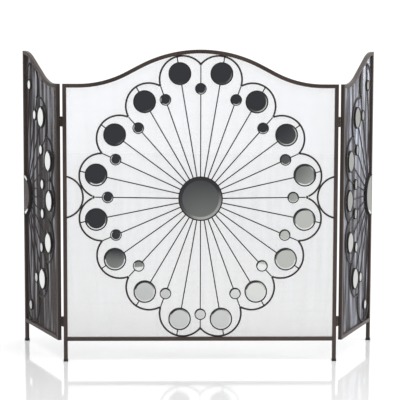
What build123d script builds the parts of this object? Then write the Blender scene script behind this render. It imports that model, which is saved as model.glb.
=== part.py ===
from build123d import *
from math import acos, asin, atan2, cos, degrees, hypot, pi, radians, sin, sqrt, tan
import os

# A three-panel folding fireplace screen: square-tube frames with ogee tops, fine wire mesh,
# and a flower of bent wire that carries round bevelled mirrors in metal cups.
# Millimetres and degrees. +X right, +Z up, +Y away from the room. The floor is Z = 0.

os.makedirs("parts", exist_ok=True)

# ---------------------------------------------------------------- frame
tube = 10.0                # outside of the square tube
tube_wall = 1.0
centre_width = 711.0       # over the posts of the centre panel
side_width = 302.0         # over the posts of one side panel
crown_height = 810.0       # top edge at the crown of the curve
crown_rise = 88.0          # from the level run of the top edge beside the hinges up to the crown
rail_height = 54.0         # underside of the bottom rails

centre_flat = 40.0         # level run of the top tube beside a post of the centre panel
centre_hollow = 262.0      # radius of the hollow bend of the top edge
centre_slope = 41.0        # straight run between the two bends
side_flat = 30.0
side_hollow = 224.0
side_slope = 110.0

foot_size = 11.4           # outside of the square foot cap
foot_height = 6.0
foot_floor = 3.0           # thickness under the post
foot_play = 0.1            # between the cap and the tube, each side

mesh_thickness = 0.8       # two crossing layers of fine wire
mesh_setback = 3.2         # front of the mesh behind the middle of the tube

# ---------------------------------------------------------------- hinges and fold
fold_angle = 67.5          # how far each side panel is folded back from straight
post_gap = 6.7             # between facing posts when the screen is straight
pin_setback = 1.9          # hinge pin behind the back face of the posts
pin_radius = 1.2
pin_play = 0.05
pin_head_radius = 2.1
pin_head_height = 0.8
barrel_radius = 2.9
leaf_thickness = 1.2
leaf_margin = 0.6          # leaf edge behind the front face of the post
hinge_height = 25.0
knuckle_height = 8.0       # the middle knuckle
knuckle_play = 0.3
barrel_clearance = 0.3     # leaf edge to the other leaf's barrel
hinge_heights = {"upper": 625.0, "lower": 104.0}

# ---------------------------------------------------------------- wires and mirrors
petal_wire = 4.8           # diameter
spoke_wire = 3.0           # diameter
weld_bite = 0.4            # how far a wire sinks into what it is welded to
cusp_gap = 0.2             # between the square ends of two petals at a cusp
mirror_play = 0.1
back_plate = 1.0           # thickness of a cup's back

# cup: outside radius, wall, back edge, front edge, back of the plate, bevel width of its mirror
hub_cup = dict(radius=57.5, wall=3.0, back=-2.5, front=6.5, shelf=1.2, bevel=7.0)
large_cup = dict(radius=29.5, wall=3.0, back=-2.0, front=3.5, shelf=-0.5, bevel=3.0)
small_cup = dict(radius=15.0, wall=2.1, back=-2.0, front=3.0, shelf=-0.5, bevel=1.6)
mirror_recess = 0.6        # front of the mirror behind the front edge of its cup
bevel_height = 0.35        # drop of the bevel at the mirror's edge

petal_reach = 43.5         # from the middle of a large mirror out to its petal

# ---------------------------------------------------------------- the centre flower
crown_petal_radius = 60.0
crown_petal_offset = 46.0  # middle of a crown petal beside the panel's upright axis
crown_petal_end = 17.4     # its far end below its middle, in degrees
level_cusp_gap = 73.2      # from the cusp level with the hub to the post
cusp_across = (0.681, 0.933)   # the two cusps between, as shares of the level cusp's distance
cusp_up = (0.722, 0.3965)      # and of the height of the crown petal's far end
seat_outward = (0.2, 2.4, 6.6)   # large mirrors outside the line between their cusps
link_lengths = (36.8, 37.3, 38.3, 32.2)   # these four cusps to the middles of their small mirrors
axis_link_lengths = {"top": 62.6, "bottom": 36.4}   # and the two cusps on the upright axis
hub_drop = 3.5             # hub below the middle of the flower
side_arc_radius = 54.7     # half-round wires between the flower and the posts

# ---------------------------------------------------------------- the side half-flowers
side_crown_radius = 60.0
side_crown_offset = 62.0   # middle of a crown petal beside the outer post's axis
side_crown_ends = {"top": 36.0, "bottom": 22.0}
side_hub_drop = 8.5        # hub below the middle of its crown petals
# across from the outer post's axis, and up from the hub as a share of the crown petals' height
side_cusps = ((186.0, 0.5655), (223.0, 0.1896))
side_seat_outward = (1.5, 3.0, -6.0)           # the last is the level mirror
side_seat_slips = (0.0, 8.4, 0.0, 0.0, 0.0)    # down along the line between the two cusps
side_link_lengths = (49.0, 53.0, 68.0)
side_crown_mirror = (44.0, 1.0295)             # small mirror inside a crown petal, placed alike

# ---------------------------------------------------------------- worked out from the above
half_tube = tube / 2
shoulder_height = crown_height - crown_rise
rail_top = rail_height + tube
pin_depth = half_tube + pin_setback            # pin behind the middle of the tube
wire_reach = petal_wire / 2 - weld_bite        # petal's middle line to what it is welded to
fold = radians(fold_angle)
back_reach = (pin_depth * (1 - cos(fold))
              + (post_gap / 2 + side_width + (foot_size - tube) / 2) * sin(fold)
              + foot_size / 2 * cos(fold))
centre_y = (hub_cup["front"] - back_reach) / 2   # the screen's box is centred on the origin
centre_panel = Plane(origin=(0, centre_y, 0), x_dir=(1, 0, 0), z_dir=(0, -1, 0))


def save(builder, name):
    """Label a finished piece and write it under its node's name."""
    builder.part.label = name
    export_step(builder.part, f"parts/{name}.step")


# ---------------------------------------------------------------- geometry of the ogee
class Ogee:
    """The top edge of a panel, from the crown at a = 0 down to the shoulder at a = run.

    Round over the crown, straight down the slope, hollow, then level beside the post.
    A parallel line further down the tube has the same bend centres."""

    def __init__(self, run, flat, hollow, slope):
        self.run = run
        self.bend_run = run - flat
        rise = crown_height - shoulder_height
        both_radii = (self.bend_run ** 2 + rise ** 2 - slope ** 2) / (2 * rise)
        self.hollow = hollow
        self.round = both_radii - hollow
        self.angle = atan2(self.bend_run, both_radii - rise) - atan2(slope, both_radii)
        self.round_middle = crown_height - self.round
        self.hollow_middle = shoulder_height + hollow

    def round_point(self, drop, angle):
        radius = self.round - drop
        return radius * sin(angle), self.round_middle + radius * cos(angle)

    def hollow_point(self, drop, angle):
        radius = self.hollow + drop
        return self.bend_run - radius * sin(angle), self.hollow_middle - radius * cos(angle)

    def height(self, a, drop):
        """Height of the line that lies drop below the top edge, at a from the crown."""
        slope_start = self.round_point(drop, self.angle)
        slope_end = self.hollow_point(drop, self.angle)
        if a <= slope_start[0]:
            return self.round_middle + sqrt((self.round - drop) ** 2 - a ** 2)
        if a <= slope_end[0]:
            share = (a - slope_start[0]) / (slope_end[0] - slope_start[0])
            return slope_start[1] + share * (slope_end[1] - slope_start[1])
        if a <= self.bend_run:
            return self.hollow_middle - sqrt((self.hollow + drop) ** 2 - (self.bend_run - a) ** 2)
        return shoulder_height - drop

    def draw(self, drop, start, end, place):
        """Draw the line drop below the top edge, from a = start to a = end, in a BuildLine."""
        first = (start, self.height(max(start, 0), drop))
        lift = asin(max(start, 0) / (self.round - drop))
        if start < 0:
            Line(place(*first), place(*self.round_point(drop, 0)))
            first = self.round_point(drop, 0)
        ThreePointArc(
            place(*first),
            place(*self.round_point(drop, (lift + self.angle) / 2)),
            place(*self.round_point(drop, self.angle)),
        )
        Line(place(*self.round_point(drop, self.angle)), place(*self.hollow_point(drop, self.angle)))
        ThreePointArc(
            place(*self.hollow_point(drop, self.angle)),
            place(*self.hollow_point(drop, self.angle / 2)),
            place(*self.hollow_point(drop, 0)),
        )
        Line(place(*self.hollow_point(drop, 0)), place(end, shoulder_height - drop))

    def room_under(self, middle, reach, steps=90):
        """Greatest height for the middle of a circle that stays under the top tube."""
        room = []
        for step in range(-steps, steps + 1):
            angle = pi / 2 * step / steps
            a = middle + reach * sin(angle)
            room.append(self.height(abs(a), tube) - reach * cos(angle))
        return min(room)


centre_ogee = Ogee(centre_width / 2, centre_flat, centre_hollow, centre_slope)
side_ogee = Ogee(side_width, side_flat, side_hollow, side_slope)


# ---------------------------------------------------------------- shared shapes
def bar(panel, left, right, low, high, depth, mode=Mode.ADD):
    """A straight bar about the panel's middle plane."""
    with BuildSketch(panel.offset(-depth / 2)) as outline:
        with Locations(((left + right) / 2, (low + high) / 2)):
            Rectangle(abs(right - left), high - low)
    extrude(outline.sketch, amount=depth, mode=mode)


def mitred_post(panel, outer, inner, outer_top, inner_top, low, hollow_low):
    """A hollow post whose top is cut on the slant to meet the top tube."""
    with BuildSketch(panel.offset(-half_tube)) as outline:
        Polygon((outer, low), (inner, low), (inner, inner_top), (outer, outer_top), align=None)
    extrude(outline.sketch, amount=tube)
    shift = tube_wall if inner > outer else -tube_wall
    bar(panel, outer + shift, inner - shift, hollow_low, crown_height + tube,
        tube - 2 * tube_wall, mode=Mode.SUBTRACT)


def rod(panel, start, end, diameter):
    """A straight wire between two points of the panel's middle plane."""
    foot = panel.from_local_coords(Vector(*start, 0))
    tip = panel.from_local_coords(Vector(*end, 0))
    with BuildSketch(Plane(origin=foot, z_dir=tip - foot)) as section:
        Circle(diameter / 2)
    extrude(section.sketch, amount=(tip - foot).length)


def disc(panel, seats, level, radius, height, mode=Mode.ADD):
    """A round disc at each seat, from level towards the front."""
    with BuildSketch(panel.offset(level)) as circles:
        with Locations(*seats):
            Circle(radius)
    extrude(circles.sketch, amount=height, mode=mode)


def cups(panel, seats, cup):
    """Shallow metal cups: a round wall with a plate across it that the mirror lies on."""
    inside = cup["radius"] - cup["wall"]
    face = cup["shelf"] + back_plate
    disc(panel, seats, cup["back"], cup["radius"], cup["front"] - cup["back"])
    disc(panel, seats, face, inside, cup["front"] - face, mode=Mode.SUBTRACT)
    disc(panel, seats, cup["back"], inside, cup["shelf"] - cup["back"], mode=Mode.SUBTRACT)


def mirrors(panel, seats, cup):
    """Round mirrors with a ground bevel, one in each cup."""
    radius = cup["radius"] - cup["wall"] - mirror_play
    bottom = cup["shelf"] + back_plate
    shoulder = cup["front"] - mirror_recess - bevel_height
    disc(panel, seats, bottom, radius, shoulder - bottom)
    for seat in seats:
        rims = []
        for level, size in ((shoulder, radius), (shoulder + bevel_height, radius - cup["bevel"])):
            with BuildSketch(panel.offset(level)) as rim:
                with Locations(seat):
                    Circle(size)
            rims.append(rim.sketch.face())
        loft(rims)


def foot_cap(panel, across):
    """A square cap on the lower end of a post."""
    for level, width, mode in (
        (0, foot_size, Mode.ADD),
        (foot_floor, tube + 2 * foot_play, Mode.SUBTRACT),
    ):
        base = panel.from_local_coords(Vector(across, level, 0))
        with BuildSketch(Plane(origin=base, x_dir=panel.x_dir, z_dir=(0, 0, 1))) as square:
            Rectangle(width, width)
        extrude(square.sketch, amount=foot_height, mode=mode)


# ---------------------------------------------------------------- geometry of a flower
def polar(hub, distance, angle):
    return hub[0] + distance * cos(angle), hub[1] + distance * sin(angle)


def ray(hub, point):
    """Distance and angle of a point seen from the hub."""
    return hypot(point[0] - hub[0], point[1] - hub[1]), atan2(point[1] - hub[1], point[0] - hub[0])


def arc_over(first, second, hub, outward):
    """Middle and radius of the petal over two cusps, and the seat of its large mirror."""
    middle = ((first[0] + second[0]) / 2, (first[1] + second[1]) / 2)
    half = hypot(second[0] - first[0], second[1] - first[1]) / 2
    normal = ((second[1] - first[1]) / half / 2, (first[0] - second[0]) / half / 2)
    if normal[0] * (middle[0] - hub[0]) + normal[1] * (middle[1] - hub[1]) < 0:
        normal = (-normal[0], -normal[1])
    rise = outward + petal_reach
    radius = (half ** 2 + rise ** 2) / (2 * rise)
    centre = (middle[0] + normal[0] * (rise - radius), middle[1] + normal[1] * (rise - radius))
    seat = (middle[0] + normal[0] * outward, middle[1] + normal[1] * outward)
    return centre, radius, seat


def seat_in(centre, radius, first, second):
    """Seat of a large mirror inside a petal that is already placed."""
    middle = ((first[0] + second[0]) / 2, (first[1] + second[1]) / 2)
    away = hypot(middle[0] - centre[0], middle[1] - centre[1])
    share = (radius - petal_reach) / away
    return centre[0] + (middle[0] - centre[0]) * share, centre[1] + (middle[1] - centre[1]) * share


class Petal:
    """An arc of wire from one end to the other, round the side of its middle away from the hub."""

    def __init__(self, hub, centre, radius, first, second):
        self.centre = centre
        self.radius = radius
        self.ends = (first, second)
        self.away = ray(hub, centre)[1]

    def swing(self, end):
        """Angle from the arc's outermost point to one of its ends, as seen from its middle."""
        return (ray(self.centre, end)[1] - self.away + pi) % (2 * pi) - pi

    def leaves(self, end):
        """Direction in which the wire leaves one of its ends."""
        angle = ray(self.centre, end)[1]
        side = 1 if self.swing(end) > 0 else -1
        return side * sin(angle), -side * cos(angle)

    def half_angle(self, end, neighbour):
        """Half the angle between this wire and its neighbour at the cusp where they meet."""
        mine, other = self.leaves(end), neighbour.leaves(end)
        return acos(max(-1, min(1, mine[0] * other[0] + mine[1] * other[1]))) / 2

    def short_of(self, end, neighbour):
        """How far before a cusp the square-cut wire ends, so that it just clears its neighbour."""
        return (petal_wire / 2 + cusp_gap / 2) / tan(self.half_angle(end, neighbour))

    def make(self, panel, short_first, short_second):
        """The bent wire, cut square, its ends short of the two end points by the given lengths."""
        angles = []
        for end, short in zip(self.ends, (short_first, short_second)):
            swing = self.swing(end)
            angles.append(swing - short / self.radius * (1 if swing > 0 else -1))
        start, size = degrees(self.away + min(angles)), degrees(max(angles) - min(angles))
        with BuildLine(panel) as line:
            CenterArc(self.centre, self.radius, start, size)
        with BuildSketch(Plane(line.line @ 0, panel.z_dir, line.line % 0)) as section:
            Circle(petal_wire / 2)
        sweep(section.sketch, path=line.line)


def spokes(panel, hub, seats, cup):
    """Straight wires from the hub's cup to the cup at each seat."""
    for seat in seats:
        distance, angle = ray(hub, seat)
        start = polar(hub, hub_cup["radius"] - weld_bite, angle)
        end = polar(hub, distance - cup["radius"] + weld_bite, angle)
        rod(panel, start, end, spoke_wire)


def strut_to_petal(panel, hub, seat, cup, petal):
    """Short wire from a cup outwards along its ray to the inside of the petal."""
    distance, angle = ray(hub, seat)
    across, up = petal.centre[0] - hub[0], petal.centre[1] - hub[1]
    along = cos(angle) * across + sin(angle) * up
    aside = sin(angle) * across - cos(angle) * up
    petal_distance = along + sqrt((petal.radius - petal_wire / 2 + weld_bite) ** 2 - aside ** 2)
    start = polar(hub, distance + cup["radius"] - weld_bite, angle)
    rod(panel, start, polar(hub, petal_distance, angle), spoke_wire)


def link_to_cusp(panel, hub, seat, cusp):
    """Short wire from a small cup outwards to the cusp beyond it."""
    distance, angle = ray(hub, seat)
    start = polar(hub, distance + small_cup["radius"] - weld_bite, angle)
    rod(panel, start, cusp, spoke_wire)


def back_from_cusp(hub, cusp, link):
    distance, angle = ray(hub, cusp)
    return polar(hub, distance - link, angle)


# ================================================================ centre panel: the frame
inner_edge = centre_width / 2 - tube
for name, side in (("left_post", -1), ("right_post", 1)):
    with BuildPart() as post:
        mitred_post(centre_panel, side * centre_width / 2, side * inner_edge,
                    shoulder_height, shoulder_height - tube, foot_floor, 0)
    save(post, name)

with BuildPart() as top_rail:
    for drop_pair, depth, extra, mode in (
        ((0, tube), tube, 0, Mode.ADD),
        ((tube_wall, tube - tube_wall), tube - 2 * tube_wall, tube, Mode.SUBTRACT),
    ):
        with BuildSketch(centre_panel.offset(-depth / 2)):
            with BuildLine():
                for drop in drop_pair:
                    end = centre_width / 2 - drop + extra
                    for side in (-1, 1):
                        centre_ogee.draw(drop, 0, end, lambda a, z, s=side: (s * a, z))
                for side in (-1, 1):
                    Line(*[(side * (centre_width / 2 - drop + extra), shoulder_height - drop)
                           for drop in drop_pair])
            make_face()
        extrude(amount=depth, mode=mode)
save(top_rail, "top_rail")

with BuildPart() as bottom_rail:
    bar(centre_panel, -inner_edge, inner_edge, rail_height, rail_top, tube)
    bar(centre_panel, -inner_edge, inner_edge, rail_height + tube_wall, rail_top - tube_wall,
        tube - 2 * tube_wall, mode=Mode.SUBTRACT)
save(bottom_rail, "bottom_rail")

with BuildPart() as centre_feet:
    for side in (-1, 1):
        foot_cap(centre_panel, side * (centre_width / 2 - half_tube))
save(centre_feet, "centre_feet")

with BuildPart() as centre_mesh:
    with BuildSketch(centre_panel.offset(-mesh_setback - mesh_thickness)):
        with BuildLine():
            for side in (-1, 1):
                centre_ogee.draw(tube, 0, inner_edge, lambda a, z, s=side: (s * a, z))
                Line((side * inner_edge, shoulder_height - tube), (side * inner_edge, rail_top))
            Line((-inner_edge, rail_top), (inner_edge, rail_top))
        make_face()
    extrude(amount=mesh_thickness)
save(centre_mesh, "centre_mesh")

# ================================================================ centre panel: the flower
# The crown petals touch the top tube and the bottom rail, and the flower's middle is halfway
# between them.
crown_reach = crown_petal_radius + wire_reach
high_middle = centre_ogee.room_under(crown_petal_offset, crown_reach)
low_middle = rail_top + crown_reach
middle_height = (high_middle + low_middle) / 2
hub = (0.0, middle_height - hub_drop)
crown_up = (high_middle - low_middle) / 2
axis_cusp = crown_up + sqrt(crown_petal_radius ** 2 - crown_petal_offset ** 2)
end_cusp = (crown_petal_offset + crown_petal_radius * cos(radians(crown_petal_end)),
            crown_up - crown_petal_radius * sin(radians(crown_petal_end)))
level_cusp = inner_edge - level_cusp_gap
quarter_cusps = [(0.0, axis_cusp), end_cusp]
for across, up in zip(cusp_across, cusp_up):
    quarter_cusps.append((level_cusp * across, end_cusp[1] * up))
quarter_cusps.append((level_cusp, 0.0))

# the cusps clockwise from the top, each with its place in the quarter
cusps = []
for across, up, places in (
    (1, 1, range(0, 4)),
    (1, -1, range(4, 0, -1)),
    (-1, -1, range(0, 4)),
    (-1, 1, range(4, 0, -1)),
):
    for place in places:
        x, z = quarter_cusps[place]
        cusps.append((place, (across * x, middle_height + up * z)))

petals = []
large_seats = []
for index, (place, first) in enumerate(cusps):
    next_place, second = cusps[(index + 1) % len(cusps)]
    kind = min(place, next_place)
    if kind == 0:
        across = 1 if first[0] + second[0] > 0 else -1
        up = 1 if first[1] > middle_height else -1
        centre, radius = (across * crown_petal_offset, middle_height + up * crown_up), crown_petal_radius
        seat = seat_in(centre, radius, first, second)
    else:
        centre, radius, seat = arc_over(first, second, hub, seat_outward[kind - 1])
    petals.append(Petal(hub, centre, radius, first, second))
    large_seats.append(seat)
small_seats = []
for place, cusp in cusps:
    if place == 0:
        link = axis_link_lengths["top" if cusp[1] > hub[1] else "bottom"]
    else:
        link = link_lengths[place - 1]
    small_seats.append(back_from_cusp(hub, cusp, link))

with BuildPart() as centre_petals:
    for index, petal in enumerate(petals):
        before, after = petals[index - 1], petals[(index + 1) % len(petals)]
        petal.make(centre_panel, petal.short_of(petal.ends[0], before), petal.short_of(petal.ends[1], after))
save(centre_petals, "centre_petals")

level_petal = petals[3]
stand_off = side_arc_radius + level_petal.radius + petal_wire - weld_bite
arc_across = level_petal.centre[0] + sqrt(stand_off ** 2 - (level_petal.centre[1] - middle_height) ** 2)
wall = inner_edge + weld_bite
arc_reach = sqrt(side_arc_radius ** 2 - (wall - arc_across) ** 2)
with BuildPart() as centre_side_arcs:
    for side in (-1, 1):
        ends = [(side * wall, middle_height + up * arc_reach) for up in (-1, 1)]
        middle = (side * arc_across, middle_height)
        side_arc = Petal((side * 2 * wall, middle_height), middle, side_arc_radius, *ends)
        side_arc.make(centre_panel, 0, 0)
save(centre_side_arcs, "centre_side_arcs")

with BuildPart() as centre_large_cups:
    cups(centre_panel, large_seats, large_cup)
save(centre_large_cups, "centre_large_cups")

with BuildPart() as centre_large_mirrors:
    mirrors(centre_panel, large_seats, large_cup)
save(centre_large_mirrors, "centre_large_mirrors")

with BuildPart() as centre_small_cups:
    cups(centre_panel, small_seats, small_cup)
save(centre_small_cups, "centre_small_cups")

with BuildPart() as centre_small_mirrors:
    mirrors(centre_panel, small_seats, small_cup)
save(centre_small_mirrors, "centre_small_mirrors")

with BuildPart() as centre_hub_cup:
    cups(centre_panel, [hub], hub_cup)
save(centre_hub_cup, "centre_hub_cup")

with BuildPart() as centre_hub_mirror:
    mirrors(centre_panel, [hub], hub_cup)
save(centre_hub_mirror, "centre_hub_mirror")

with BuildPart() as centre_large_spokes:
    spokes(centre_panel, hub, large_seats, large_cup)
save(centre_large_spokes, "centre_large_spokes")

with BuildPart() as centre_small_spokes:
    spokes(centre_panel, hub, small_seats, small_cup)
save(centre_small_spokes, "centre_small_spokes")

with BuildPart() as centre_struts:
    for seat, petal in zip(large_seats, petals):
        strut_to_petal(centre_panel, hub, seat, large_cup, petal)
    for seat, (place, cusp) in zip(small_seats, cusps):
        link_to_cusp(centre_panel, hub, seat, cusp)
save(centre_struts, "centre_struts")


# ================================================================ side panels
def side_panel(label, out):
    """Everything on one side panel; out is +1 on the right and -1 on the left."""
    pin = Vector(out * (centre_width + post_gap) / 2, centre_y + pin_depth, 0)
    front = Vector(out * sin(fold), -cos(fold), 0)
    panel = Plane(origin=pin + front * pin_depth, x_dir=(cos(fold), out * sin(fold), 0), z_dir=front)
    far = post_gap / 2 + side_width          # outer face of the outer post, from the pin

    def place(a, z):
        return out * (far - a), z

    def across(distance):
        """A point's place, given its distance inwards from the outer post's axis."""
        return out * (far - half_tube - distance)

    crown_corner = side_ogee.height(tube, tube)

    with BuildPart() as outer_post:
        mitred_post(panel, place(0, 0)[0], place(tube, 0)[0], crown_height, crown_corner, foot_floor, 0)
    save(outer_post, f"{label}_outer_post")

    with BuildPart() as hinge_post:
        mitred_post(panel, place(side_width, 0)[0], place(side_width - tube, 0)[0],
                    shoulder_height, shoulder_height - tube, rail_height, rail_height + tube_wall)
    save(hinge_post, f"{label}_hinge_post")

    with BuildPart() as side_top_rail:
        with BuildSketch(panel.offset(-half_tube)):
            with BuildLine():
                side_ogee.draw(0, 0, side_width, place)
                side_ogee.draw(tube, tube, side_width - tube, place)
                Line(place(0, crown_height), place(tube, crown_corner))
                Line(place(side_width, shoulder_height), place(side_width - tube, shoulder_height - tube))
            make_face()
        extrude(amount=tube)
        with BuildSketch(panel.offset(tube_wall - half_tube)):
            with BuildLine():
                for drop in (tube_wall, tube - tube_wall):
                    side_ogee.draw(drop, -tube, side_width + tube, place)
                for end, height in ((-tube, crown_height), (side_width + tube, shoulder_height)):
                    Line(place(end, height - tube_wall), place(end, height - tube + tube_wall))
            make_face()
        extrude(amount=tube - 2 * tube_wall, mode=Mode.SUBTRACT)
    save(side_top_rail, f"{label}_top_rail")

    rail_ends = place(tube, 0)[0], place(side_width - tube, 0)[0]
    with BuildPart() as side_bottom_rail:
        bar(panel, *rail_ends, rail_height, rail_top, tube)
        bar(panel, *rail_ends, rail_height + tube_wall, rail_top - tube_wall,
            tube - 2 * tube_wall, mode=Mode.SUBTRACT)
    save(side_bottom_rail, f"{label}_bottom_rail")

    with BuildPart() as foot:
        foot_cap(panel, across(0))
    save(foot, f"{label}_foot")

    with BuildPart() as side_mesh:
        with BuildSketch(panel.offset(-mesh_setback - mesh_thickness)):
            with BuildLine():
                side_ogee.draw(tube, tube, side_width - tube, place)
                Polyline(place(tube, crown_corner), place(tube, rail_top),
                         place(side_width - tube, rail_top), place(side_width - tube, shoulder_height - tube))
            make_face()
        extrude(amount=mesh_thickness)
    save(side_mesh, f"{label}_mesh")

    # the half-flower, laid out from the outer post's axis inwards
    reach = side_crown_radius + wire_reach
    middles = {"top": side_ogee.room_under(side_crown_offset + half_tube, reach), "bottom": rail_top + reach}
    hub_height = (middles["top"] + middles["bottom"]) / 2 - side_hub_drop
    half_height = (middles["top"] - middles["bottom"]) / 2
    side_hub = (across(0), hub_height)
    # a crown petal comes down on the post at a slant, its outer side sunk in by the weld
    landing = acos((side_crown_offset - half_tube + weld_bite) / (side_crown_radius + petal_wire / 2))
    crowns, half_cusps = {}, {}
    for up, end in ((1, "top"), (-1, "bottom")):
        centre = (across(side_crown_offset), middles[end])
        turn = radians(side_crown_ends[end])
        end_cusp = (centre[0] - out * side_crown_radius * cos(turn),
                    centre[1] - up * side_crown_radius * sin(turn))
        post_end = (across(side_crown_offset - side_crown_radius * cos(landing)),
                    centre[1] + up * side_crown_radius * sin(landing))
        crowns[end] = Petal(side_hub, centre, side_crown_radius, post_end, end_cusp)
        half_cusps[end] = [end_cusp] + [(across(x), hub_height + up * share * half_height)
                                        for x, share in side_cusps]
    side_cusp_chain = half_cusps["top"] + half_cusps["bottom"][::-1]

    petals, seats = [crowns["top"]], []
    outward_chain = side_seat_outward + side_seat_outward[-2::-1]
    cusp_pairs = zip(side_cusp_chain, side_cusp_chain[1:])
    for (first, second), outward, slip in zip(cusp_pairs, outward_chain, side_seat_slips):
        middle, radius, seat = arc_over(first, second, side_hub, outward)
        petals.append(Petal(side_hub, middle, radius, first, second))
        distance, direction = ray(first, second)
        seats.append(polar(seat, slip, direction))
    petals.append(crowns["bottom"])

    smalls = []
    link_chain = side_link_lengths + side_link_lengths[::-1]
    for cusp, link in zip(side_cusp_chain, link_chain):
        smalls.append(back_from_cusp(side_hub, cusp, link))
    mirror_across, mirror_share = side_crown_mirror
    crown_smalls = [(across(mirror_across), hub_height + up * mirror_share * half_height) for up in (1, -1)]

    with BuildPart() as side_petals:
        for crown, neighbour in ((petals[0], petals[1]), (petals[-1], petals[-2])):
            crown.make(panel, 0, crown.short_of(crown.ends[1], neighbour))
        for before, petal, after in zip(petals, petals[1:], petals[2:]):
            petal.make(panel, petal.short_of(petal.ends[0], before), petal.short_of(petal.ends[1], after))
    save(side_petals, f"{label}_petals")

    with BuildPart() as side_large_cups:
        cups(panel, seats, large_cup)
    save(side_large_cups, f"{label}_large_cups")

    with BuildPart() as side_large_mirrors:
        mirrors(panel, seats, large_cup)
    save(side_large_mirrors, f"{label}_large_mirrors")

    with BuildPart() as side_small_cups:
        cups(panel, smalls + crown_smalls, small_cup)
    save(side_small_cups, f"{label}_small_cups")

    with BuildPart() as side_small_mirrors:
        mirrors(panel, smalls + crown_smalls, small_cup)
    save(side_small_mirrors, f"{label}_small_mirrors")

    with BuildPart() as side_hub_cup:
        cups(panel, [side_hub], hub_cup)
        # the ends of the half-round wall lap over the front of the post
        bar(panel, across(-2 * hub_cup["radius"]), across(0), hub_height - 2 * hub_cup["radius"],
            hub_height + 2 * hub_cup["radius"], 2 * tube, mode=Mode.SUBTRACT)
        bar(panel, across(-half_tube), across(half_tube), rail_top, crown_height, tube, mode=Mode.SUBTRACT)
    save(side_hub_cup, f"{label}_hub_cup")

    with BuildPart() as side_hub_mirror:
        mirrors(panel, [side_hub], hub_cup)
        bar(panel, across(-2 * hub_cup["radius"]), across(half_tube + mirror_play),
            hub_height - 2 * hub_cup["radius"], hub_height + 2 * hub_cup["radius"],
            2 * tube, mode=Mode.SUBTRACT)
    save(side_hub_mirror, f"{label}_hub_mirror")

    with BuildPart() as side_spokes:
        spokes(panel, side_hub, seats, large_cup)
        spokes(panel, side_hub, smalls + crown_smalls, small_cup)
    save(side_spokes, f"{label}_spokes")

    with BuildPart() as side_struts:
        for seat, petal in zip(seats, petals[1:-1]):
            strut_to_petal(panel, side_hub, seat, large_cup, petal)
        for seat, petal in zip(crown_smalls, (petals[0], petals[-1])):
            strut_to_petal(panel, side_hub, seat, small_cup, petal)
        for seat, cusp in zip(smalls, side_cusp_chain):
            link_to_cusp(panel, side_hub, seat, cusp)
    save(side_struts, f"{label}_struts")
    return pin, panel


# ================================================================ hinges
def leaf(base, knuckles):
    """One hinge leaf. On its base plane +X runs from the pin to the post, +Y or -Y to the front."""
    forward = -1 if base.y_dir.Y > 0 else 1
    front_edge = pin_setback + tube - leaf_margin
    plate_middle = post_gap / 2 - leaf_thickness / 2
    inner_face = post_gap / 2 - leaf_thickness
    clear_edge = sqrt((barrel_radius + barrel_clearance) ** 2 - inner_face ** 2)
    with BuildSketch(base.offset(-hinge_height / 2)) as plate:
        with Locations((plate_middle, forward * (front_edge + clear_edge) / 2)):
            Rectangle(leaf_thickness, front_edge - clear_edge)
    extrude(plate.sketch, amount=hinge_height)
    for low, high in knuckles:
        with BuildSketch(base.offset(low)) as knuckle:
            Circle(barrel_radius)
            with Locations((plate_middle, forward * front_edge / 4)):
                Rectangle(leaf_thickness, front_edge / 2)
        extrude(knuckle.sketch, amount=high - low)
    with BuildSketch(base.offset(-hinge_height)) as bore:
        Circle(pin_radius + pin_play)
    extrude(bore.sketch, amount=2 * hinge_height, mode=Mode.SUBTRACT)


def hinge(label, place, pin, panel, out, height):
    """A butt hinge of two leaves and a headed pin, welded to the facing sides of two posts."""
    origin = (pin.X, pin.Y, height)
    outward = Vector(out * panel.x_dir.X, out * panel.x_dir.Y, 0)
    middle = (-knuckle_height / 2, knuckle_height / 2)
    ends = ((-hinge_height / 2, middle[0] - knuckle_play), (middle[1] + knuckle_play, hinge_height / 2))

    with BuildPart() as fixed_leaf:
        leaf(Plane(origin=origin, x_dir=(-out, 0, 0), z_dir=(0, 0, 1)), ends)
    save(fixed_leaf, f"{label}_{place}_fixed_leaf")

    with BuildPart() as moving_leaf:
        leaf(Plane(origin=origin, x_dir=outward, z_dir=(0, 0, 1)), (middle,))
    save(moving_leaf, f"{label}_{place}_moving_leaf")

    with BuildPart() as hinge_pin:
        with BuildSketch(Plane(origin=origin).offset(-hinge_height / 2)):
            Circle(pin_radius)
        extrude(amount=hinge_height)
        for level in (-hinge_height / 2 - pin_head_height, hinge_height / 2):
            with BuildSketch(Plane(origin=origin).offset(level)):
                Circle(pin_head_radius)
            extrude(amount=pin_head_height)
    save(hinge_pin, f"{label}_{place}_pin")


for label, out in (("left", -1), ("right", 1)):
    pin, panel = side_panel(label, out)
    for place, height in hinge_heights.items():
        hinge(label, place, pin, panel, out, height)
    print(label, "pin at", round(pin.X, 3), round(pin.Y, 3))
print("hub height", round(hub[1], 2), "centre panel at y", round(centre_y, 3))
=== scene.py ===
# %% [markdown]
# # A folding fireplace screen
# The screen is three frames of square steel tube with fine wire cloth behind them. In front of the
# cloth lies a flower of bent wire that carries round bevelled mirrors in shallow metal cups.
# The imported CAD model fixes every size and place. This lesson gives it its finishes, weaves the
# cloth, adds the weld beads, and sets up a plain studio.

# %% Load the frame
import math

import bmesh
import bpy
from mathutils import Matrix, Vector


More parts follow.
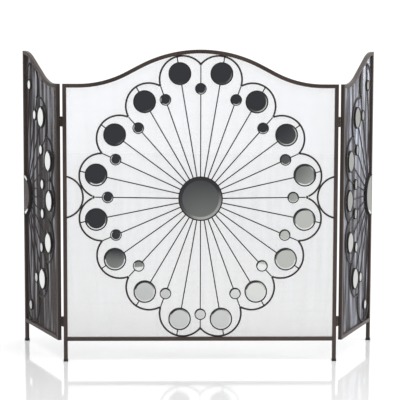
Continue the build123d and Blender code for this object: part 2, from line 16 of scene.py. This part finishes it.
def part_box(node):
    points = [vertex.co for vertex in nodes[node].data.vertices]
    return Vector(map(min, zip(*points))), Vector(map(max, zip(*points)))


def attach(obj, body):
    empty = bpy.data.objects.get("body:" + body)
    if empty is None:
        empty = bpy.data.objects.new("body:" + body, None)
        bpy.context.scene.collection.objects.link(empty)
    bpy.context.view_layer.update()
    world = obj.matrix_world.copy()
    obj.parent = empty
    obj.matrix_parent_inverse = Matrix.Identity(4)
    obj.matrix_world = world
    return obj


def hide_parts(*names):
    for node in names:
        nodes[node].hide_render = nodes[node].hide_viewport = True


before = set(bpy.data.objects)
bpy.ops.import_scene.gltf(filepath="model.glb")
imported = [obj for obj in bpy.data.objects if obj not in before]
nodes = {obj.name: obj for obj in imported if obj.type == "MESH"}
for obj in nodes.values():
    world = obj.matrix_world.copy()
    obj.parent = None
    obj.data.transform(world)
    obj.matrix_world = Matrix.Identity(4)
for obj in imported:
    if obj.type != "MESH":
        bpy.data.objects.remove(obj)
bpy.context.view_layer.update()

# %% [markdown]
# ## Names and places
# Every panel has the same kinds of piece, so one table says how a side's nodes are called. The CAD
# nodes give all positions: a panel's own directions come from two of its pieces.

# %% The panels
PANELS = {"centre": "centre_panel", "left": "left_panel", "right": "right_panel"}
TUBES = {
    "centre": ["left_post", "right_post", "top_rail", "bottom_rail"],
    "left": ["left_outer_post", "left_hinge_post", "left_top_rail", "left_bottom_rail"],
    "right": ["right_outer_post", "right_hinge_post", "right_top_rail", "right_bottom_rail"],
}


def middle(name):
    """The middle of a CAD node's box."""
    low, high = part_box(name)
    return (low + high) / 2


def panel_axis(panel):
    """Level unit direction along a panel: left to right in the centre, hub to hinge on a side."""
    if panel == "centre":
        return Vector((1, 0, 0))
    along = middle(f"{panel}_hinge_post") - middle(f"{panel}_outer_post")
    along.z = 0
    return along.normalized()


def panel_front(panel):
    """Unit direction out of a panel's face."""
    along = panel_axis(panel)
    front = Vector((along.y, -along.x, 0))
    return front if front.y < 0 else -front


for panel in PANELS:
    print(panel, "along", panel_axis(panel)[:], "front", panel_front(panel)[:])

# %% [markdown]
# ## A small language for finishes
# A finish is a node tree. Numbers that vary over the surface are wires in it, and writing
# `0.4 + 0.1 * speckle` is easier to read than two nodes and their links. One class wraps a socket
# and turns arithmetic into Math nodes, and one method adds any other node.


# %% Wires that can be added and multiplied
class Wire:
    """One output of a node. Arithmetic on it adds Math nodes."""

    def __init__(self, finish, socket):
        self.finish = finish
        self.socket = socket

    def maths(self, operation, first, second):
        return self.finish.node("ShaderNodeMath", {"operation": operation}, {0: first, 1: second})

    def __add__(self, other):
        return self.maths("ADD", self, other)

    __radd__ = __add__

    def __mul__(self, other):
        return self.maths("MULTIPLY", self, other)

    __rmul__ = __mul__

    def __sub__(self, other):
        return self.maths("SUBTRACT", self, other)

    def __rsub__(self, other):
        return self.maths("SUBTRACT", other, self)


print("wire language ready")


# %% A finish and its nodes
class Finish:
    """A material built node by node round one Principled shader."""

    def __init__(self, name, **constants):
        self.material = bpy.data.materials.new(name)
        self.material.use_nodes = True
        self.tree = self.material.node_tree
        self.shader = self.tree.nodes["Principled BSDF"]
        for socket, value in constants.items():
            self.feed(socket.replace("_", " ").title().replace("Ior", "IOR"), value)
        self.place = self.node("ShaderNodeTexCoord", output="Object")

    def join(self, socket, value):
        """Link a wire to a socket, or set the socket to a number or colour."""
        if isinstance(value, Wire):
            self.tree.links.new(value.socket, socket)
        else:
            socket.default_value = value

    def feed(self, socket, value):
        self.join(self.shader.inputs[socket], value)

    def node(self, kind, settings=None, inputs=None, output=0):
        """Add a node, make its settings, feed its sockets, and return one output as a wire."""
        new = self.tree.nodes.new(kind)
        for setting, value in (settings or {}).items():
            if setting == "stops":
                for stop, (position, colour) in zip(new.color_ramp.elements, value):
                    stop.position = position
                    stop.color = colour
            else:
                setattr(new, setting, value)
        for socket, value in (inputs or {}).items():
            self.join(new.inputs[socket], value)
        return Wire(self, new.outputs[output])

    def noise(self, scale, detail=2.0, roughness=0.5):
        """Cloudy noise from 0 to 1, with that many lumps to the metre."""
        return self.node("ShaderNodeTexNoise", None, {
            "Vector": self.place, "Scale": scale, "Detail": detail, "Roughness": roughness})

    def steps(self, value, low, high):
        """0 where value is below low, 1 where it is above high, smooth between."""
        return self.node("ShaderNodeMapRange", {"interpolation_type": "SMOOTHSTEP"},
                         {"Value": value, "From Min": low, "From Max": high})

    def blend(self, share, first, second):
        """A mix of two colours."""
        return self.node("ShaderNodeMix", {"data_type": "RGBA"},
                         {"Factor": share, "A": first, "B": second}, output="Result")

    def bump(self, height, distance):
        """A normal that tilts as if the surface rose by distance, in metres, where height is 1."""
        return self.node("ShaderNodeBump", None, {"Height": height, "Distance": distance},
                         output="Normal")


print("finish language ready")

# %% [markdown]
# ## Powder coats
# The steel is powder coated. The powder flows out into a fine orange-peel skin, about a millimetre
# from lump to lump, and a second, lighter powder is dusted on, so the colour is slightly mottled.
# Hands polish the coat a little, which shows as patches that are smoother. One recipe makes three
# coats: brown bronze for the tubes, a darker one for the bent wire, and the darkest, with the least
# gloss, for the cups and the weld beads, which the powder gun reaches from one side only.


# %% Coats for tubes, wire and cups
HALO = 0.28          # share of the lighter powder in the pale clouds of a coat


def powder_coat(name, dark, light, gloss, peel):
    coat = Finish(name, metallic=0.25, specular_ior_level=0.5)
    speckle = coat.steps(coat.noise(1400.0, 3.0), 0.45, 0.72)
    cloud = coat.steps(coat.noise(9.0, 4.0), 0.3, 0.75)
    rubbed = coat.steps(coat.noise(38.0, 5.0, 0.6), 0.52, 0.8)
    paler = [(1 - HALO) * one + HALO * two for one, two in zip(dark, light)]
    base = coat.blend(cloud, (*dark, 1), (*paler, 1))
    coat.feed("Base Color", coat.blend(0.5 * speckle + 0.25 * rubbed, base, (*light, 1)))
    coat.feed("Roughness", gloss + 0.10 * cloud - 0.08 * rubbed + 0.05 * speckle)
    coat.feed("Normal", coat.bump(coat.noise(750.0, 2.0), peel))
    return coat.material


bronze = powder_coat("bronze_coat", (0.040, 0.028, 0.025), (0.105, 0.072, 0.058), 0.36, 0.00006)
wire_coat = powder_coat("wire_coat", (0.019, 0.016, 0.017), (0.048, 0.039, 0.037), 0.44, 0.00004)
cup_coat = powder_coat("cup_coat", (0.014, 0.012, 0.012), (0.036, 0.029, 0.027), 0.50, 0.00004)
print("coats", bronze.name, wire_coat.name, cup_coat.name)

# %% [markdown]
# ## Painted hinges and moulded feet
# The hinges were painted with the frame, and the paint has worn thin where the knuckles rub, so
# bare steel shows there in small patches. The feet are moulded plastic with a spark-eroded skin.


# %% Hinge and foot finishes
def hinge_paint():
    paint = Finish("hinge_paint", specular_ior_level=0.5)
    worn = paint.steps(paint.noise(420.0, 5.0, 0.65), 0.60, 0.70)
    cloud = paint.noise(60.0, 3.0)
    coat = paint.blend(cloud, (0.028, 0.020, 0.017, 1), (0.060, 0.042, 0.034, 1))
    paint.feed("Base Color", paint.blend(worn, coat, (0.30, 0.27, 0.24, 1)))
    paint.feed("Metallic", 0.2 + 0.7 * worn)
    paint.feed("Roughness", 0.42 - 0.12 * worn + 0.08 * cloud)
    paint.feed("Normal", paint.bump(1 - worn, 0.00005))
    return paint.material


def moulded_foot():
    foot = Finish("moulded_foot", specular_ior_level=0.4)
    grain = foot.noise(2600.0, 2.0)
    scuff = foot.steps(foot.noise(240.0, 6.0, 0.7), 0.55, 0.75)
    foot.feed("Base Color",
              foot.blend(0.7 * scuff, (0.016, 0.015, 0.015, 1), (0.055, 0.050, 0.046, 1)))
    foot.feed("Roughness", 0.55 + 0.2 * scuff)
    foot.feed("Normal", foot.bump(grain, 0.00008))
    return foot.material


hinge_finish = hinge_paint()
foot_finish = moulded_foot()
print("finishes", hinge_finish.name, foot_finish.name)

# %% [markdown]
# ## Mirror glass
# A mirror is a silvered back seen through clear glass, so it is a smooth metal that is a touch
# greener than grey. No mirror lies quite flat in its cup: a slow wave in the surface normal
# turns each one a fraction of a degree its own way, which is why the reflections differ. Faint
# wipe marks change the roughness, never the colour.


# %% Mirror finish
def silvered_glass():
    glass = Finish("silvered_glass", metallic=1.0)
    tone = glass.noise(23.0, 2.0)
    wipe = glass.steps(glass.noise(130.0, 5.0, 0.65), 0.5, 0.8)
    glass.feed("Base Color", glass.blend(tone, (0.69, 0.705, 0.695, 1), (0.74, 0.75, 0.74, 1)))
    glass.feed("Roughness", 0.025 + 0.05 * wipe)
    glass.feed("Normal", glass.bump(glass.noise(7.0, 0.0), 0.0016))
    return glass.material


mirror_finish = silvered_glass()
print("finish", mirror_finish.name)

# %% [markdown]
# ## Dress the CAD nodes
# A node whose shape is right keeps its mesh and only gets a better material. Its place is already
# in its vertices, so a pattern on Object coordinates runs on from one piece to the next.


# %% Give every node its finish
def finish_for(name):
    if "mirror" in name:
        return mirror_finish
    if "foot" in name or "feet" in name:
        return foot_finish
    if name.endswith("_pin") or "leaf" in name:
        return hinge_finish
    if "cup" in name:
        return cup_coat
    if any(word in name for word in ("petals", "spokes", "struts", "arcs")):
        return wire_coat
    return bronze


for name, node in nodes.items():
    node.data.materials.clear()
    node.data.materials.append(finish_for(name))
print("dressed", len(nodes))

# %% [markdown]
# ## Soft edges on the tubes
# Rolled tube has rounded corners, which catch a thin line of light that a sharp edge never shows.
# The CAD meshes are loose triangles, so a Weld modifier closes them first and a Bevel modifier then
# rounds every edge that turns sharply. The cups keep the lips that the CAD gives them.


# %% Round the edges
CLOSE = 0.000005     # corners of loose triangles that are nearer than this are one corner
TUBE_ROUND = 0.0011  # how much of each face the rounded corner of a tube takes
SHARP = math.radians(40)


def soften(name):
    node = nodes[name]
    weld = node.modifiers.new("close", "WELD")
    weld.merge_threshold = CLOSE
    bevel = node.modifiers.new("round", "BEVEL")
    bevel.width = TUBE_ROUND
    bevel.segments = 2
    bevel.limit_method = "ANGLE"
    bevel.angle_limit = SHARP
    bevel.harden_normals = False


for names in TUBES.values():
    for name in names:
        soften(name)
print("softened", sum(len(n) for n in TUBES.values()))

# %% [markdown]
# ## The wire cloth
# Fireplace cloth is thin steel wire at a pitch of a few millimetres, clipped behind the frame. The
# CAD has a closed plate in its place. The cloth is woven: each upright wire weaves in and out of
# the level ones, so from the front it is a hair, but from the side it fills the depth of its crimp.
# That is why the cloth is nearly clear face on and nearly closed at a slant. A straight oval wire,
# as deep as the crimp, shows both with a few faces each, although there are hundreds.


# %% The outline of a cloth
PITCH = 0.0024
WIRE = 0.00021       # half the thickness of a wire
CRIMP = 0.00037      # half the depth that an upright wire weaves through
SIDES = 6            # faces round a wire
FLOOR_BAND = 0.01    # corners this close to the plate's lower edge are not its top
TOP_GAP = 0.0005     # the highest level wire keeps this far below the crown


def outline(panel):
    """The plate's top edge as (along, height) points, with its ends, floor line and depth."""
    along, front = panel_axis(panel), panel_front(panel)
    points = [v.co for v in nodes[f"{panel}_mesh"].data.vertices]
    low = min(p.z for p in points)
    tops = {}
    for p in points:
        if p.z > low + FLOOR_BAND:
            key = round(along.dot(p), 5)
            tops[key] = max(tops.get(key, 0), p.z)
    depth = sum(front.dot(p) for p in points) / len(points)
    return sorted(tops.items()), low, depth


def height_at(edge, place):
    """The height of the outline above one place along the panel."""
    for (first, up), (second, down) in zip(edge, edge[1:]):
        if first <= place <= second:
            return up + (down - up) * (place - first) / max(second - first, 1e-9)
    return edge[-1][1]


def spans_at(edge, height):
    """Where a level line at that height lies under the outline: its first and last place."""
    inside = []
    for (first, up), (second, down) in zip(edge, edge[1:]):
        if up >= height:
            inside.append(first)
        if down >= height:
            inside.append(second)
        if (up - height) * (down - height) < 0:
            inside.append(first + (second - first) * (height - up) / (down - up))
    return min(inside), max(inside)


for panel in PANELS:
    edge, low, depth = outline(panel)
    print(panel, "outline points", len(edge), "from", edge[0], "to", edge[-1], "low", round(low, 4))


# %% One wire and one finished piece
def straight_wire(made, start, end, front, half_depth):
    """A thin oval prism from start to end, half_depth deep towards the front."""
    run = end - start
    ahead = run.normalized()
    turn = Matrix((ahead.cross(front), front, ahead)).transposed().to_4x4()
    oval = Matrix.Diagonal((WIRE, half_depth, 1, 1))
    place = Matrix.Translation((start + end) / 2) @ turn @ oval
    bmesh.ops.create_cone(made, cap_ends=True, segments=SIDES, radius1=1, radius2=1,
                          depth=run.length, matrix=place)


def finished_piece(made, name, finish, body):
    """Turn a bmesh into a piece at the origin that rides on a body."""
    bmesh.ops.recalc_face_normals(made, faces=made.faces)
    mesh = bpy.data.meshes.new(name)
    made.to_mesh(mesh)
    made.free()
    mesh.materials.append(finish)
    piece = bpy.data.objects.new(name, mesh)
    bpy.context.scene.collection.objects.link(piece)
    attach(piece, body)
    print(name, "faces", len(mesh.polygons))
    return piece


print("wire", 2 * WIRE, "thick and", 2 * CRIMP, "deep at a pitch of", PITCH)

# %% [markdown]
# ## Painted sheen on the cloth
# The cloth is dark lacquered wire. Its colour is blended towards a pale bluish tone in upright
# streaks, which is a painted sheen of reflected light, and the centre cloth is painted lighter
# towards the top, which is painted light. The side cloths are seen at a slant, so many wires stack
# up and their painted sheen shows as light and dark bands. Heights are shrunk before the noise
# reads them, which draws its lumps out into upright streaks.


# %% Coats with painted sheen for the three cloths
SHEEN_STREAK_SQUEEZE = (1.0, 1.0, 0.08)


def cloth_coat_with_painted_sheen(name, wire_tone, painted_sheen, sheen_by_height, sheen_by_streak, sheen_from, sheen_to):
    """Lacquered steel wire, blended from its own dark tone to a painted sheen by height and streaks.
    """
    coat = Finish(name, metallic=0.6)
    height = coat.node("ShaderNodeSeparateXYZ", None, {"Vector": coat.place}, output="Z")
    drawn = coat.node("ShaderNodeMapping", None, {"Vector": coat.place, "Scale": SHEEN_STREAK_SQUEEZE})
    streak = coat.node("ShaderNodeTexNoise", None, {"Vector": drawn, "Scale": 55.0, "Detail": 3.0})
    fleck = coat.noise(900.0, 2.0)
    # painted sheen and painted light: this mask makes the wire lighter in upright streaks and
    # towards the top
    share = coat.steps(sheen_by_height * height + sheen_by_streak * streak, sheen_from, sheen_to)
    # the pale colour is a painted sheen of reflected light, not clean lacquer; the dark colour is
    # the wire's own
    coat.feed("Base Color", coat.blend(share, (*wire_tone, 1), (*painted_sheen, 1)))
    coat.feed("Roughness", 0.30 + 0.18 * fleck)
    return coat.material


# One cloth in three copies with painted light: the right cloth's colours are painted lighter, as if
# lit from the right, the left's darker as painted shade, and the centre's painted sheen grows
# towards the top.
cloths = {
    "centre": cloth_coat_with_painted_sheen("centre_cloth_painted_sheen", (0.09, 0.088, 0.10), (0.40, 0.44, 0.52),
                         sheen_by_height=1.0, sheen_by_streak=0.5, sheen_from=0.2, sheen_to=1.05),
    "left": cloth_coat_with_painted_sheen("left_cloth_painted_sheen", (0.082, 0.070, 0.066), (0.60, 0.60, 0.66),
                       sheen_by_height=0.0, sheen_by_streak=1.0, sheen_from=0.44, sheen_to=0.72),
    "right": cloth_coat_with_painted_sheen("right_cloth_painted_sheen", (0.115, 0.106, 0.110), (0.64, 0.67, 0.75),
                        sheen_by_height=0.1, sheen_by_streak=1.0, sheen_from=0.44, sheen_to=0.76),
}
print("cloth coats", [finish.name for finish in cloths.values()])

# %% [markdown]
# ## Weave and hang
# Upright wires stand on the plate's lower edge and reach up to its outline, and level wires cross
# them from one side of the outline to the other. Both kinds pass through each other, where real
# wires bend round each other, because at this size the bend can't be seen. Each cloth takes the
# place of its plate and rides with its panel.


# %% Weave the cloth
def weave(panel, finish):
    """Upright and level wires under the outline of a panel's plate, as one piece."""
    along, front = panel_axis(panel), panel_front(panel)
    edge, low, depth = outline(panel)
    made = bmesh.new()
    first, last = edge[0][0], edge[-1][0]
    count = int((last - first) / PITCH)
    margin = (last - first - count * PITCH) / 2
    for index in range(count + 1):
        place = first + margin + index * PITCH
        base = along * place + front * depth
        straight_wire(made, base + Vector((0, 0, low)),
                      base + Vector((0, 0, height_at(edge, place))), front, CRIMP)
    top = max(height for place, height in edge)
    for index in range(int((top - low) / PITCH) + 1):
        height = low + (index + 0.5) * PITCH
        if height >= top - TOP_GAP:
            break
        start, end = spans_at(edge, height)
        rise = Vector((0, 0, height)) + front * depth
        straight_wire(made, along * start + rise, along * end + rise, front, WIRE)
    return finished_piece(made, f"{panel}_wire_cloth", finish, PANELS[panel])


for panel, finish in cloths.items():
    cloth = weave(panel, finish)
    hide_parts(f"{panel}_mesh")

# %% [markdown]
# ## Weld beads
# Every wire is tacked where it meets a cup, a petal or another wire. A bead is a low lump of metal
# that ran into the corner and froze, then was coated with the rest. Each straight wire in the CAD
# is a separate shell, so its two ends are found by measuring, and a slightly flattened ball with
# 80 faces goes on each. Where two petals meet at a cusp a larger lump fills the corner between the
# ends of both petals and the tip of the wire that holds them, so it sits between the three.


# %% Find the ends of the straight wires
END_BAND = 0.0006    # the corners of a wire's end lie within this of its farthest corner


def shells(name):
    """The vertices of each separate solid in a node."""
    copy = bmesh.new()
    copy.from_mesh(nodes[name].data)
    bmesh.ops.remove_doubles(copy, verts=copy.verts, dist=CLOSE)
    found, seen = [], set()
    for vertex in copy.verts:
        if vertex.index in seen:
            continue
        group, queue = [], [vertex]
        seen.add(vertex.index)
        while queue:
            one = queue.pop()
            group.append(one.co.copy())
            for edge in one.link_edges:
                other = edge.other_vert(one)
                if other.index not in seen:
                    seen.add(other.index)
                    queue.append(other)
        found.append(group)
    copy.free()
    return found


def ends_of(shell, hub):
    """The inner and outer end of a straight wire, and the direction from the hub."""
    middle_point = sum(shell, Vector()) / len(shell)
    away = (middle_point - hub).normalized()
    reach = [away.dot(p - hub) for p in shell]
    near, far = min(reach), max(reach)
    inner = [p for p, r in zip(shell, reach) if r < near + END_BAND]
    outer = [p for p, r in zip(shell, reach) if r > far - END_BAND]
    return sum(inner, Vector()) / len(inner), sum(outer, Vector()) / len(outer), away


def hub_of(panel):
    """The middle of a panel's hub. On a side panel it lies in the outer post."""
    if panel == "centre":
        return middle("centre_hub_mirror")
    place = middle(f"{panel}_outer_post")
    place.z = middle(f"{panel}_hub_mirror").z
    return place


print("centre struts", len(shells("centre_struts")))


# %% Lay the beads
LINK = 0.015         # a wire longer than this ends at a cusp, a shorter one on a petal
CUSP_REACH = 0.0085  # the ends of both petals lie within this of the cusp
TACK = 0.0021        # half the size of a tack on a cup
LINK_TACK = 0.0026   # half the size of a tack between a link and its petal
CUSP_LUMP = 0.0045   # half the size of the lump in a cusp
CUSP_SHARE = 0.62    # the lump lies this far from the wire's tip to the petals' ends
SPOKES = {
    "centre": ["centre_large_spokes", "centre_small_spokes"],
    "left": ["left_spokes"],
    "right": ["right_spokes"],
}


def bead(made, place, size, along, front):
    """A flattened ball, longest along the joint."""
    side = front.cross(along).normalized()
    turn = Matrix((along, side, along.cross(side))).transposed().to_4x4()
    squash = Matrix.Diagonal((size * 0.75, size, size * 0.9, 1))
    bmesh.ops.create_icosphere(made, subdivisions=2, radius=1.0,
                               matrix=Matrix.Translation(place) @ turn @ squash)


def lay_beads(panel):
    """Beads on both ends of every spoke and strut of a panel, as one piece."""
    hub, front = hub_of(panel), panel_front(panel)
    made = bmesh.new()
    for name in SPOKES[panel]:
        for shell in shells(name):
            inner, outer, away = ends_of(shell, hub)
            bead(made, inner, TACK, away, front)
            bead(made, outer, TACK, away, front)
    petal_points = [p for shell in shells(f"{panel}_petals") for p in shell]
    for shell in shells(f"{panel}_struts"):
        inner, outer, away = ends_of(shell, hub)
        bead(made, inner, TACK, away, front)
        if (outer - inner).length > LINK:
            near = [p for p in petal_points if (p - outer).length < CUSP_REACH]
            corner = sum(near, Vector()) / max(len(near), 1)
            bead(made, outer.lerp(corner, CUSP_SHARE) if near else outer, CUSP_LUMP, away, front)
        else:
            bead(made, outer, LINK_TACK, away, front)
    piece = finished_piece(made, f"{panel}_weld_beads", cup_coat, PANELS[panel])
    for face in piece.data.polygons:
        face.use_smooth = True


for panel in PANELS:
    lay_beads(panel)

# %% [markdown]
# ## The floor and the background
# The screen stands on a pale, polished floor in front of a white background. The floor mirrors the
# lower part of the screen, more so the flatter it is looked at. A plain shader does this by itself
# when its surface is smooth and its index of refraction is a little above that of glass.


# %% Floor and background
FLOOR = 9.0          # half the side of the floor
WHITE = 1.12         # strength of the white background


def floor_finish():
    floor = Finish("pale_floor", ior=1.7)
    cloud = floor.noise(1.5, 2.0)
    floor.feed("Base Color", floor.blend(cloud, (0.89, 0.895, 0.90, 1), (0.905, 0.905, 0.91, 1)))
    floor.feed("Roughness", 0.05 + 0.03 * cloud)
    return floor.material


def stage_sheet(name, corners, finish):
    """A flat sheet that belongs to the stage, not to the screen."""
    made = bmesh.new()
    made.faces.new([made.verts.new(corner) for corner in corners])
    mesh = bpy.data.meshes.new(name)
    made.to_mesh(mesh)
    made.free()
    mesh.materials.append(finish)
    sheet = bpy.data.objects.new(name, mesh)
    bpy.context.scene.collection.objects.link(sheet)
    return sheet


floor_corners = [(-FLOOR, -FLOOR, 0), (FLOOR, -FLOOR, 0), (FLOOR, FLOOR, 0), (-FLOOR, FLOOR, 0)]
floor = stage_sheet("floor", floor_corners, floor_finish())

world = bpy.data.worlds.new("studio")
bpy.context.scene.world = world
world.use_nodes = True
backdrop = world.node_tree.nodes["Background"]
backdrop.inputs["Color"].default_value = (1, 1, 1, 1)
backdrop.inputs["Strength"].default_value = WHITE
bpy.context.scene.view_settings.view_transform = "Standard"
print("floor", floor.name)

# %% [markdown]
# ## The room that the mirrors show
# A mirror shows what is in front of the screen, so that side is set too, with cards that only
# reflections see. The camera looks through them and they cast no shade. The room card stands across
# the room, in front of the screen: it is dark, with a pale window on the right and a glow low down,
# so the centre mirrors go from dark at the upper left to pale at the lower right. The side mirrors
# show the camera what lies outwards of the screen and behind it. The left flag darkens the wires of
# the left panel, but stops just short of what its round mirrors show, so they stay white, and the
# small low back flag is what its half hub shows. The right card greys the upper mirrors of the right
# panel. The lower ones show the floor.


# %% Finishes of the cards
ROOM_DARK = (0.055, 0.056, 0.064, 1)
ROOM_PALE = (0.68, 0.69, 0.66, 1)


def room_finish():
    """The room in front of the screen: dark on the left, paler to the right and low down."""
    card = Finish("room_finish", roughness=1.0)
    axes = {"Vector": card.place}
    across = card.node("ShaderNodeSeparateXYZ", None, axes, output="X")
    height = card.node("ShaderNodeSeparateXYZ", None, axes, output="Z")
    window = card.steps(across - 0.6 * height, 0.0, 0.42) * card.steps(0.86 - across, 0.0, 0.14)
    low_glow = card.steps(across, -0.3, 0.05) * card.steps(0.42 - height, 0.0, 0.36)
    floor_glow = card.steps(0.08 - height, 0.0, 0.06)
    share = window + 0.42 * low_glow + 0.35 * floor_glow
    card.feed("Base Color", (0, 0, 0, 1))
    card.feed("Specular IOR Level", 0.0)
    card.feed("Emission Strength", 1.0)
    card.feed("Emission Color", card.blend(share, ROOM_DARK, ROOM_PALE))
    return card.material


def plain_card_finish(name, shade):
    """A card of one even tone."""
    card = Finish(name, roughness=1.0, base_color=(0, 0, 0, 1), emission_strength=1.0)
    card.feed("Specular IOR Level", 0.0)
    card.feed("Emission Color", (*shade, 1))
    return card.material


print("card finishes ready")


# %% Set the cards
def hidden_card(name, corners, finish):
    """A card that shows in reflections only."""
    card = stage_sheet(name, corners, finish)
    card.visible_camera = False
    card.visible_diffuse = False
    card.visible_shadow = False
    card.visible_transmission = False
    print(name, "from", corners[0], "to", corners[2])


def upright_card(start, end, low, high):
    """The corners of an upright card whose lower edge runs from start to end."""
    return [(*start, low), (*end, low), (*end, high), (*start, high)]


hidden_card("room_card", upright_card((-0.80, -1.75), (2.0, -1.75), 0.01, 2.0), room_finish())
hidden_card("left_flag", upright_card((-2.3, -2.9), (-2.3, 2.10), 0.02, 2.4),
            plain_card_finish("left_flag_finish", (0.03, 0.028, 0.026)))
hidden_card("back_flag", upright_card((-2.3, 2.32), (-1.5, 3.2), 0.0, 0.45),
            plain_card_finish("back_flag_finish", (0.16, 0.14, 0.14)))
hidden_card("right_card", upright_card((2.3, 2.0), (2.3, 3.2), 0.03, 1.3),
            plain_card_finish("right_card_finish", (0.56, 0.56, 0.54)))

# %% [markdown]
# ## Lamps
# The white background does most of the lighting, as a white studio does. Two soft lamps give the
# tubes a thin bright edge: a wide one above and in front, and an upright strip on the right.


# %% Hang the lamps
HEART = Vector((0, 0, 0.42))  # both lamps point at the middle of the screen


def soft_lamp(name, place, size, power):
    """A rectangular lamp at a place, turned to the middle of the screen."""
    data = bpy.data.lights.new(name, "AREA")
    data.shape = "RECTANGLE"
    data.size, data.size_y = size
    data.energy = power
    lamp = bpy.data.objects.new(name, data)
    bpy.context.scene.collection.objects.link(lamp)
    turn = (HEART - Vector(place)).to_track_quat("-Z", "Y").to_matrix().to_4x4()
    lamp.matrix_world = Matrix.Translation(place) @ turn
    print(name, "at", place, "watts", power)


soft_lamp("overhead", (0.2, -1.2, 2.6), size=(2.2, 1.4), power=14)
soft_lamp("right_strip", (2.4, -0.9, 1.1), size=(0.7, 1.8), power=22)

# %% [markdown]
# ## The camera
# A long lens stands three and a half metres off, just below the crown, and looks slightly down, so
# the two side panels are seen at a slant and their frames lean in by a hair.


# %% Camera
CAMERA_PLACE = (-0.0774, -3.7016, 0.7535)
YAW, DIP, ROLL = math.radians(-1.223), math.radians(5.305), math.radians(0.154)
LENS_LENGTH = 124.34  # millimetres, on a sensor 36 mm wide


def aim(yaw, dip, roll):
    """A camera's turn: yaw to the left, dip below the horizon, roll anticlockwise."""
    flat = math.cos(dip)
    forward = Vector((-math.sin(yaw) * flat, math.cos(yaw) * flat, -math.sin(dip)))
    level = Vector((math.cos(yaw), math.sin(yaw), 0))
    upright = level.cross(forward)
    right = math.cos(roll) * level + math.sin(roll) * upright
    up = math.cos(roll) * upright - math.sin(roll) * level
    return Matrix((right, up, -forward)).transposed().to_4x4()


lens = bpy.data.cameras.new("camera")
lens.sensor_width = 36.0
lens.lens = LENS_LENGTH
camera = bpy.data.objects.new("camera", lens)
bpy.context.scene.collection.objects.link(camera)
camera.matrix_world = Matrix.Translation(CAMERA_PLACE) @ aim(YAW, DIP, ROLL)
bpy.context.scene.camera = camera
print("camera at", camera.location[:])
